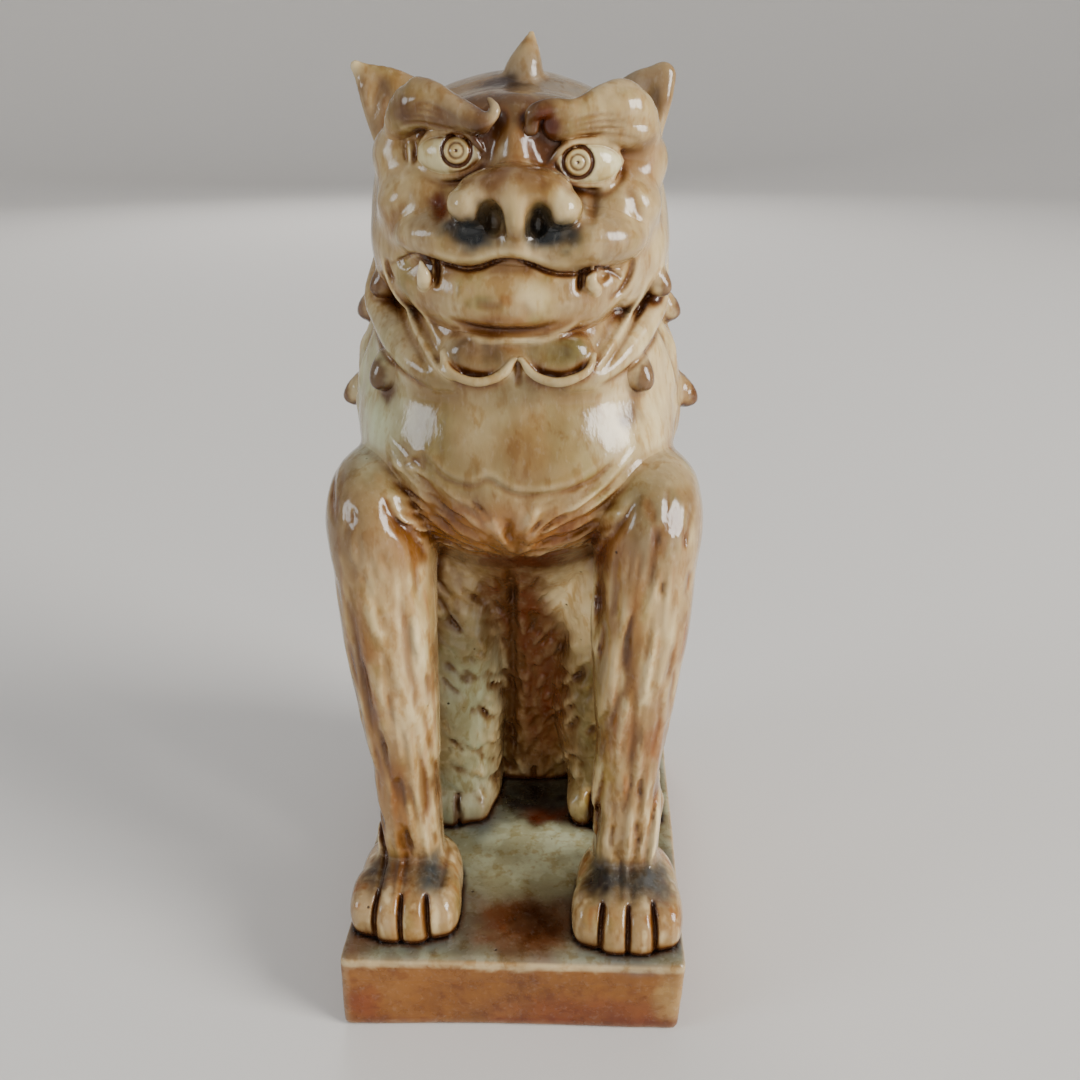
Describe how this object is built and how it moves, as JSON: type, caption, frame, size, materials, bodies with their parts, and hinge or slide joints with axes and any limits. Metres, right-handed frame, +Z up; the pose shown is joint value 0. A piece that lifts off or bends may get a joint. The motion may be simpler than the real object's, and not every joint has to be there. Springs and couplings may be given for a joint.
{
  "type": "glazed stoneware guardian lion statue",
  "caption": "Glazed stoneware guardian lion, horned and closed-mouthed, sitting upright on braced forelegs on a rectangular plinth; hollow, open underneath.",
  "frame": {"origin": "centre of the plinth's underside, on the surface it stands on", "axes": "+Z up; the lion faces -Y; +X is the lion's own left, the right-hand side when it is looked at from in front"},
  "size_m": [0.113, 0.16, 0.2999],
  "materials": {
    "body_glaze": "glossy ash glaze over buff stoneware, mottled straw to brown",
    "pale_glaze": "glossy, thin pale celadon-straw glaze",
    "amber_glaze": "glossy, iron-amber where the glaze pools",
    "dark_glaze": "glossy, slate-brown pooled glaze",
    "plinth_glaze": "glossy, thin glaze with rust-brown bare patches"
  },
  "bodies": {
    "root": {"head_shell": "body_glaze", "horn": "pale_glaze", "left_beard_curl": "amber_glaze", "left_brow": "body_glaze", "left_cheek_ruff": "body_glaze", "left_ear": "body_glaze", "left_eyeball": "pale_glaze", "left_fang": "pale_glaze", "left_foreleg": "body_glaze", "left_forepaw": "body_glaze", "left_haunch": "amber_glaze", "left_hind_paw": "body_glaze", "left_mane_curl_1": "body_glaze", "left_mane_curl_2": "body_glaze", "left_mane_curl_3": "body_glaze", "left_mane_curl_4": "body_glaze", "left_mane_curl_5": "body_glaze", "left_mane_curl_6": "body_glaze", "left_mane_curl_7": "body_glaze", "left_mane_curl_8": "body_glaze", "left_mane_curl_9": "body_glaze", "lower_jaw": "body_glaze", "muzzle": "body_glaze", "nape_mane_curl_1": "body_glaze", "nape_mane_curl_2": "body_glaze", "nape_mane_curl_3": "body_glaze", "nose": "dark_glaze", "plinth_back_wall": "plinth_glaze", "plinth_front_wall": "plinth_glaze", "plinth_left_wall": "plinth_glaze", "plinth_right_wall": "plinth_glaze", "plinth_top_slab": "plinth_glaze", "right_beard_curl": "amber_glaze", "right_brow": "body_glaze", "right_cheek_ruff": "body_glaze", "right_ear": "body_glaze", "right_eyeball": "pale_glaze", "right_fang": "pale_glaze", "right_foreleg": "body_glaze", "right_forepaw": "body_glaze", "right_haunch": "amber_glaze", "right_hind_paw": "body_glaze", "right_mane_curl_1": "body_glaze", "right_mane_curl_2": "body_glaze", "right_mane_curl_3": "body_glaze", "right_mane_curl_4": "body_glaze", "right_mane_curl_5": "body_glaze", "right_mane_curl_6": "body_glaze", "right_mane_curl_7": "body_glaze", "right_mane_curl_8": "body_glaze", "right_mane_curl_9": "body_glaze", "tail_left_lock": "body_glaze", "tail_middle_lock": "body_glaze", "tail_right_lock": "body_glaze", "trunk_back_shell": "body_glaze", "trunk_front_shell": "body_glaze"}
  },
  "joints": []
}
